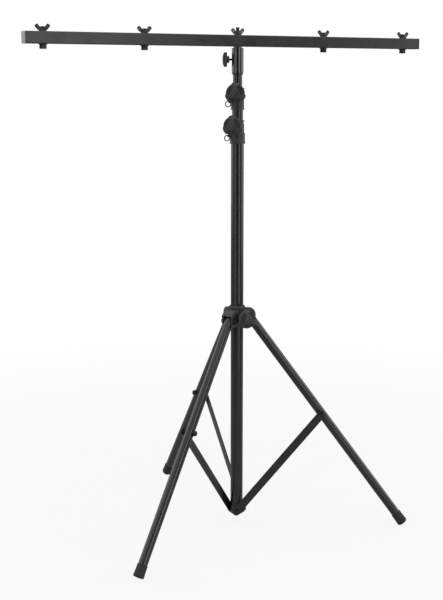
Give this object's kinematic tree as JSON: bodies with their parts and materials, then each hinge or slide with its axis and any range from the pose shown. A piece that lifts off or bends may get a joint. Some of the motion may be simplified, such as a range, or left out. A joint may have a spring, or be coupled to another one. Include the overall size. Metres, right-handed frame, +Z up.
{
  "type": "lighting t bar stand",
  "caption": "Telescopic tripod stand for stage lamps: folding legs with braces on a sliding hub, clamp collars with safety pins, and a square cross bar with hanging bolts and wing nuts.",
  "frame": {"origin": "on the mast axis, on the floor under the three feet", "axes": "+Z up the mast, +X along the cross bar at rest, +Y towards the rear leg's side"},
  "size_m": [1.204, 0.7511, 1.3945],
  "materials": {
    "tube_paint": "semi-gloss black paint",
    "bar_paint": "satin black paint",
    "socket_metal": "glossy dark grey paint",
    "moulded_plastic": "lightly grained black",
    "cap_plastic": "smooth black",
    "bush_plastic": "grey nylon",
    "black_steel": "black zinc",
    "pad_brass": "turned",
    "ring_steel": "bright wire",
    "foot_rubber": "matt black"
  },
  "bodies": {
    "mast": {"outer_tube": "tube_paint", "foot_plug": "cap_plastic", "lower_bush": "bush_plastic", "lower_collar": "moulded_plastic", "brace_foot_bolts": "black_steel"},
    "middle": {"middle_tube": "tube_paint", "middle_guide": "bush_plastic", "upper_bush": "bush_plastic", "upper_collar": "moulded_plastic"},
    "top": {"top_tube": "tube_paint", "top_guide": "bush_plastic", "top_socket": "socket_metal"},
    "bar": {"bar_spigot": "socket_metal", "t_bar": "bar_paint", "bar_end_caps": "cap_plastic", "centre_bolt": "black_steel", "wing_nut_washers": "black_steel"},
    "hub": {"hub": "moulded_plastic", "hub_pivot_bolts": "black_steel"},
    "brace_right": {"brace_right": "tube_paint"},
    "leg_right": {"leg_right": "tube_paint", "leg_plug_right": "cap_plastic", "foot_right": "foot_rubber", "brace_bolt_right": "black_steel"},
    "brace_rear": {"brace_rear": "tube_paint"},
    "leg_rear": {"leg_rear": "tube_paint", "leg_plug_rear": "cap_plastic", "foot_rear": "foot_rubber", "brace_bolt_rear": "black_steel"},
    "brace_left": {"brace_left": "tube_paint"},
    "leg_left": {"leg_left": "tube_paint", "leg_plug_left": "cap_plastic", "foot_left": "foot_rubber", "brace_bolt_left": "black_steel"},
    "hub_clamp_pad": {"hub_clamp_pad": "pad_brass"},
    "hub_clamp_knob": {"hub_clamp_screw": "black_steel", "hub_clamp_knob": "moulded_plastic"},
    "lower_clamp_pad": {"lower_clamp_pad": "pad_brass"},
    "lower_clamp_knob": {"lower_clamp_screw": "black_steel", "lower_clamp_knob": "moulded_plastic"},
    "upper_clamp_pad": {"upper_clamp_pad": "pad_brass"},
    "upper_clamp_knob": {"upper_clamp_screw": "black_steel", "upper_clamp_knob": "moulded_plastic"},
    "star_pad": {"star_pad": "pad_brass"},
    "star_knob": {"star_screw": "black_steel", "star_knob": "moulded_plastic"},
    "centre_wing_nut": {"centre_wing_nut": "black_steel"},
    "wing_nut_1": {"wing_nut_1": "black_steel"},
    "hanging_bolt_1": {"hanging_bolt_1": "black_steel"},
    "wing_nut_2": {"wing_nut_2": "black_steel"},
    "hanging_bolt_2": {"hanging_bolt_2": "black_steel"},
    "wing_nut_3": {"wing_nut_3": "black_steel"},
    "hanging_bolt_3": {"hanging_bolt_3": "black_steel"},
    "wing_nut_4": {"wing_nut_4": "black_steel"},
    "hanging_bolt_4": {"hanging_bolt_4": "black_steel"},
    "lower_safety_pin": {"lower_safety_pin": "black_steel"},
    "lower_safety_ring": {"lower_safety_pin_ring": "ring_steel"},
    "upper_safety_pin": {"upper_safety_pin": "black_steel"},
    "upper_safety_ring": {"upper_safety_pin_ring": "ring_steel"}
  },
  "joints": [
    {"name": "middle_slide", "type": "slide", "parent": "mast", "child": "middle", "axis": [0, 0, 1], "range_m": [0, 0.95]},
    {"name": "top_slide", "type": "slide", "parent": "middle", "child": "top", "axis": [0, 0, 1], "range_m": [0, 0.95]},
    {"name": "bar_swivel", "type": "hinge", "parent": "top", "child": "bar", "pos_m": [0, 0, 1.317], "axis": [0, 0, 1], "continuous": true},
    {"name": "leg_fold", "type": "hinge", "parent": "mast", "child": "brace_right", "pos_m": [0, 0, 0.0377], "axis": [-0.524, -0.8517, 0], "range_deg": [0, 33.15]},
    {"name": "leg_turn_right", "type": "hinge", "parent": "brace_right", "child": "leg_right", "pos_m": [0.20373, -0.12534, 0.33004], "axis": [0.524, 0.8517, 0], "range_deg": [-0.01, 69.56]},
    {"name": "brace_fold_rear", "type": "hinge", "parent": "mast", "child": "brace_rear", "pos_m": [0, 0, 0.0377], "axis": [0.9996, -0.0279, 0], "range_deg": [-0.01, 33.16]},
    {"name": "leg_turn_rear", "type": "hinge", "parent": "brace_rear", "child": "leg_rear", "pos_m": [0.00668, 0.23911, 0.33004], "axis": [-0.9996, 0.0279, 0], "range_deg": [-0.01, 69.56]},
    {"name": "brace_fold_left", "type": "hinge", "parent": "mast", "child": "brace_left", "pos_m": [0, 0, 0.0377], "axis": [-0.4756, 0.8796, 0], "range_deg": [-0.01, 33.16]},
    {"name": "leg_turn_left", "type": "hinge", "parent": "brace_left", "child": "leg_left", "pos_m": [-0.21041, -0.11377, 0.33004], "axis": [0.4756, -0.8796, 0], "range_deg": [-0.01, 69.56]},
    {"name": "hub_turn", "type": "hinge", "parent": "leg_right", "child": "hub", "pos_m": [0.03492, -0.02148, 0.59887], "axis": [-0.524, -0.8517, 0], "range_deg": [-0.01, 36.41]},
    {"name": "hub_clamp_travel", "type": "slide", "parent": "hub", "child": "hub_clamp_pad", "axis": [-0.0279, -0.9996, 0], "range_m": [0, 0.0025]},
    {"name": "hub_clamp_turn", "type": "hinge", "parent": "hub_clamp_pad", "child": "hub_clamp_knob", "pos_m": [-0.00084, -0.02999, 0.60837], "axis": [-0.0279, -0.9996, 0], "range_deg": [-0.05, 720.05]},
    {"name": "lower_clamp_travel", "type": "slide", "parent": "mast", "child": "lower_clamp_pad", "axis": [-0.7325, -0.6807, 0], "range_m": [0, 0.0025]},
    {"name": "lower_clamp_turn", "type": "hinge", "parent": "lower_clamp_pad", "child": "lower_clamp_knob", "pos_m": [-0.02198, -0.02042, 1.1345], "axis": [-0.7325, -0.6807, 0], "range_deg": [-0.05, 720.05]},
    {"name": "upper_clamp_travel", "type": "slide", "parent": "middle", "child": "upper_clamp_pad", "axis": [-0.6101, -0.7923, 0], "range_m": [0, 0.0025]},
    {"name": "upper_clamp_turn", "type": "hinge", "parent": "upper_clamp_pad", "child": "upper_clamp_knob", "pos_m": [-0.0183, -0.02377, 1.221], "axis": [-0.6101, -0.7923, 0], "range_deg": [-0.05, 720.05]},
    {"name": "star_travel", "type": "slide", "parent": "top", "child": "star_pad", "axis": [-0.8669, 0.4985, 0], "range_m": [0, 0.002]},
    {"name": "star_turn", "type": "hinge", "parent": "star_pad", "child": "star_knob", "pos_m": [-0.02601, 0.01495, 1.31], "axis": [-0.8669, 0.4985, 0], "range_deg": [-0.05, 720.05]},
    {"name": "centre_wing_nut_turn", "type": "hinge", "parent": "bar", "child": "centre_wing_nut", "pos_m": [0, 0, 1.38], "axis": [0, 0, 1], "range_deg": [0, 1440]},
    {"name": "hanging_bolt_1_drop", "type": "slide", "parent": "bar", "child": "hanging_bolt_1", "axis": [0, 0, -1], "range_m": [0, 0.006]},
    {"name": "wing_nut_1_turn", "type": "hinge", "parent": "bar", "child": "wing_nut_1", "pos_m": [-0.552, 0, 1.38], "axis": [0, 0, 1], "range_deg": [-0.05, 1440.05]},
    {"name": "hanging_bolt_2_drop", "type": "slide", "parent": "bar", "child": "hanging_bolt_2", "axis": [0, 0, -1], "range_m": [0, 0.006]},
    {"name": "wing_nut_2_turn", "type": "hinge", "parent": "bar", "child": "wing_nut_2", "pos_m": [-0.276, 0, 1.38], "axis": [0, 0, 1], "range_deg": [-0.05, 1440.05]},
    {"name": "hanging_bolt_3_drop", "type": "slide", "parent": "bar", "child": "hanging_bolt_3", "axis": [0, 0, -1], "range_m": [0, 0.006]},
    {"name": "wing_nut_3_turn", "type": "hinge", "parent": "bar", "child": "wing_nut_3", "pos_m": [0.276, 0, 1.38], "axis": [0, 0, 1], "range_deg": [-0.05, 1440.05]},
    {"name": "hanging_bolt_4_drop", "type": "slide", "parent": "bar", "child": "hanging_bolt_4", "axis": [0, 0, -1], "range_m": [0, 0.006]},
    {"name": "wing_nut_4_turn", "type": "hinge", "parent": "bar", "child": "wing_nut_4", "pos_m": [0.552, 0, 1.38], "axis": [0, 0, 1], "range_deg": [-0.05, 1440.05]},
    {"name": "lower_safety_pull", "type": "slide", "parent": "mast", "child": "lower_safety_pin", "axis": [-0.9962, 0.0872, 0], "range_m": [-0.0012, 0.012]},
    {"name": "lower_safety_ring_swing", "type": "hinge", "parent": "lower_safety_pin", "child": "lower_safety_ring", "pos_m": [-0.0267, 0.00234, 1.107], "axis": [-0.8059, 0.0705, 0.5878], "range_deg": [-30, 30]},
    {"name": "upper_safety_pull", "type": "slide", "parent": "middle", "child": "upper_safety_pin", "axis": [-0.9962, 0.0872, 0], "range_m": [-0.0012, 0.012]},
    {"name": "upper_safety_ring_swing", "type": "hinge", "parent": "upper_safety_pin", "child": "upper_safety_ring", "pos_m": [-0.02401, 0.0021, 1.198], "axis": [-0.8259, 0.0723, 0.5592], "range_deg": [-30, 30]}
  ],
  "couplings": [
    {"joint": "leg_turn_right", "follows": "leg_fold", "ratio": 2.0982},
    {"joint": "brace_fold_rear", "follows": "leg_fold", "ratio": 1},
    {"joint": "leg_turn_rear", "follows": "leg_fold", "ratio": 2.0982},
    {"joint": "brace_fold_left", "follows": "leg_fold", "ratio": 1},
    {"joint": "leg_turn_left", "follows": "leg_fold", "ratio": 2.0982},
    {"joint": "hub_turn", "follows": "leg_fold", "ratio": 1.0982},
    {"joint": "hub_clamp_turn", "follows": "hub_clamp_travel", "rad_per_m": 5026.5},
    {"joint": "lower_clamp_turn", "follows": "lower_clamp_travel", "rad_per_m": 5026.5},
    {"joint": "upper_clamp_turn", "follows": "upper_clamp_travel", "rad_per_m": 5026.5},
    {"joint": "star_turn", "follows": "star_travel", "rad_per_m": 6283.2},
    {"joint": "wing_nut_1_turn", "follows": "hanging_bolt_1_drop", "rad_per_m": 4188.8},
    {"joint": "wing_nut_2_turn", "follows": "hanging_bolt_2_drop", "rad_per_m": 4188.8},
    {"joint": "wing_nut_3_turn", "follows": "hanging_bolt_3_drop", "rad_per_m": 4188.8},
    {"joint": "wing_nut_4_turn", "follows": "hanging_bolt_4_drop", "rad_per_m": 4188.8}
  ]
}
